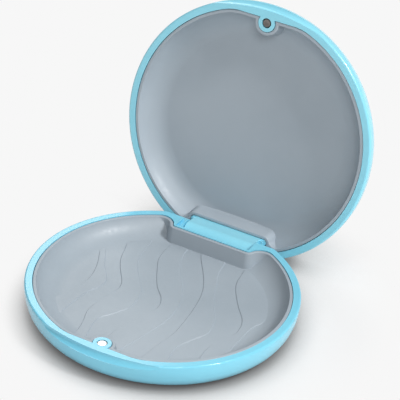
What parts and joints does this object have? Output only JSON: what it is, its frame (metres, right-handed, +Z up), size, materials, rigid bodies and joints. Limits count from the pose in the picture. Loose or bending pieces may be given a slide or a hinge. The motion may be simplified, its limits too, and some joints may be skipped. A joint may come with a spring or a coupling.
{
  "type": "denture case",
  "caption": "Round hinged case for dentures: a shallow dish base and a matching lid, each lined with a soft tray, closed by magnets and opening on a pin at the back.",
  "frame": {"origin": "centre of the flat round foot of the base, on the table", "axes": "+Z up, +Y from the magnets at the front to the hinge at the back, +X to the right seen from the front; the lid is stored open, leaning back on its stop"},
  "size_m": [0.0876, 0.1123, 0.084],
  "materials": {
    "shell": "smooth satin moulded plastic, pale sky blue",
    "base_tray": "matte soft silicone, light blue grey",
    "lid_tray": "matte soft silicone, blue grey",
    "base_magnet": "bright nickel plate",
    "lid_magnet": "dull dark plate",
    "pin": "plain drawn steel"
  },
  "bodies": {
    "base": {"base_shell": "shell", "base_liner": "base_tray", "base_magnet": "base_magnet", "hinge_pin": "pin"},
    "lid": {"lid_shell": "shell", "lid_liner": "lid_tray", "lid_magnet": "lid_magnet"}
  },
  "joints": [
    {"name": "lid_hinge", "type": "hinge", "parent": "base", "child": "lid", "pos_m": [0, 0.0384, 0.0049], "axis": [1, 0, 0], "range_deg": [0, 101]}
  ]
}
